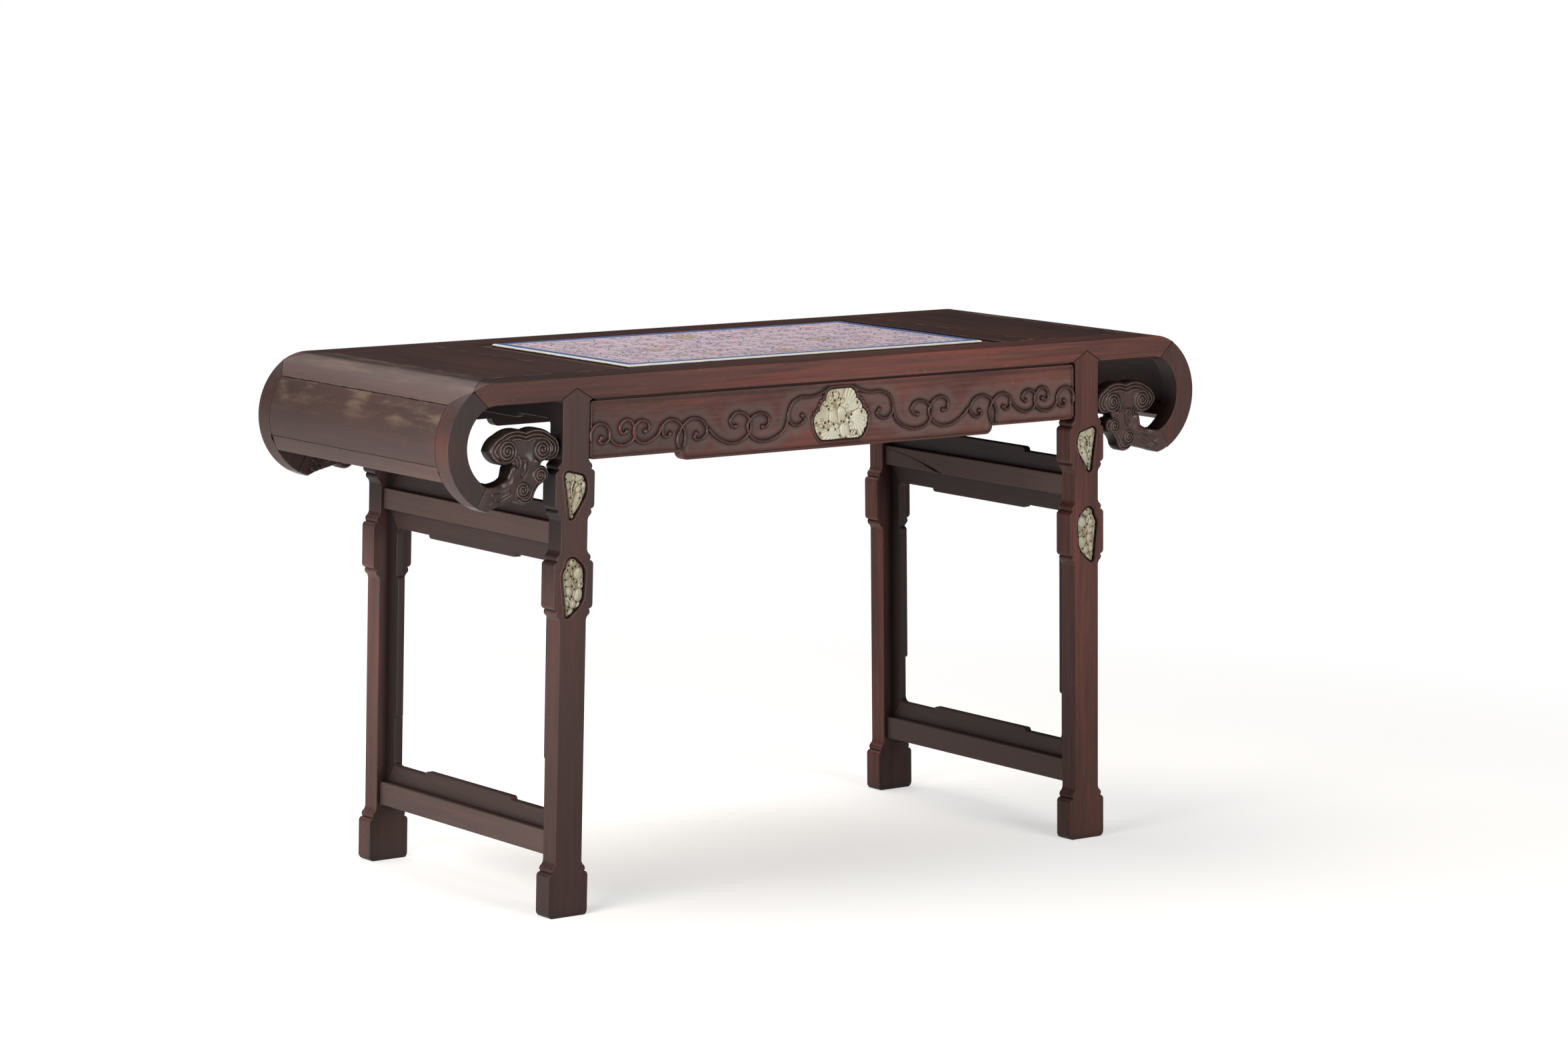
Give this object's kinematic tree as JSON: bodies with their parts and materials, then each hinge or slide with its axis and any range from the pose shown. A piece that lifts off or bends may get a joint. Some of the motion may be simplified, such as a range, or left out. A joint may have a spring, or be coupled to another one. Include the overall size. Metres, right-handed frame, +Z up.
{
  "type": "altar table",
  "caption": "Scroll-ended hardwood altar table with a plaque-inlaid framed top, stepped carved aprons, cloud-headed roll terminals and splayed, board-lined end frames on block-footed legs.",
  "frame": {"origin": "on the floor under the middle of the table", "axes": "+X along the length to the right as seen from the front, +Y from the front to the back, +Z up"},
  "size_m": [1.486, 0.558, 0.8415],
  "materials": {
    "hardwood": "dark red-brown, waxed satin",
    "jade": "polished carved jade, pale greenish cream",
    "porcelain": "glazed enamel painting on a pink ground"
  },
  "bodies": {
    "root": {"apron_jade": "jade", "back_apron": "hardwood", "back_left_leg": "hardwood", "back_left_lower_side_board": "hardwood", "back_left_scroll_frame": "hardwood", "back_left_terminal": "hardwood", "back_left_upper_side_board": "hardwood", "back_right_leg": "hardwood", "back_right_lower_side_board": "hardwood", "back_right_scroll_frame": "hardwood", "back_right_terminal": "hardwood", "back_right_upper_side_board": "hardwood", "front_apron": "hardwood", "front_left_leg": "hardwood", "front_left_lower_side_board": "hardwood", "front_left_scroll_frame": "hardwood", "front_left_terminal": "hardwood", "front_left_upper_side_board": "hardwood", "front_right_leg": "hardwood", "front_right_lower_side_board": "hardwood", "front_right_scroll_frame": "hardwood", "front_right_terminal": "hardwood", "front_right_upper_side_board": "hardwood", "left_crossbar": "hardwood", "left_end_apron": "hardwood", "left_end_rail": "hardwood", "left_lower_bottom_board": "hardwood", "left_lower_jade": "jade", "left_lower_stretcher": "hardwood", "left_lower_top_board": "hardwood", "left_scroll_bottom_rail": "hardwood", "left_scroll_panel": "hardwood", "left_top_panel": "hardwood", "left_upper_bottom_board": "hardwood", "left_upper_jade": "jade", "left_upper_stretcher": "hardwood", "plaque_bed": "hardwood", "porcelain_plaque": "porcelain", "right_crossbar": "hardwood", "right_end_apron": "hardwood", "right_end_rail": "hardwood", "right_lower_bottom_board": "hardwood", "right_lower_jade": "jade", "right_lower_stretcher": "hardwood", "right_lower_top_board": "hardwood", "right_scroll_bottom_rail": "hardwood", "right_scroll_panel": "hardwood", "right_top_panel": "hardwood", "right_upper_bottom_board": "hardwood", "right_upper_jade": "jade", "right_upper_stretcher": "hardwood", "top_back_rail": "hardwood", "top_front_rail": "hardwood"}
  },
  "joints": []
}
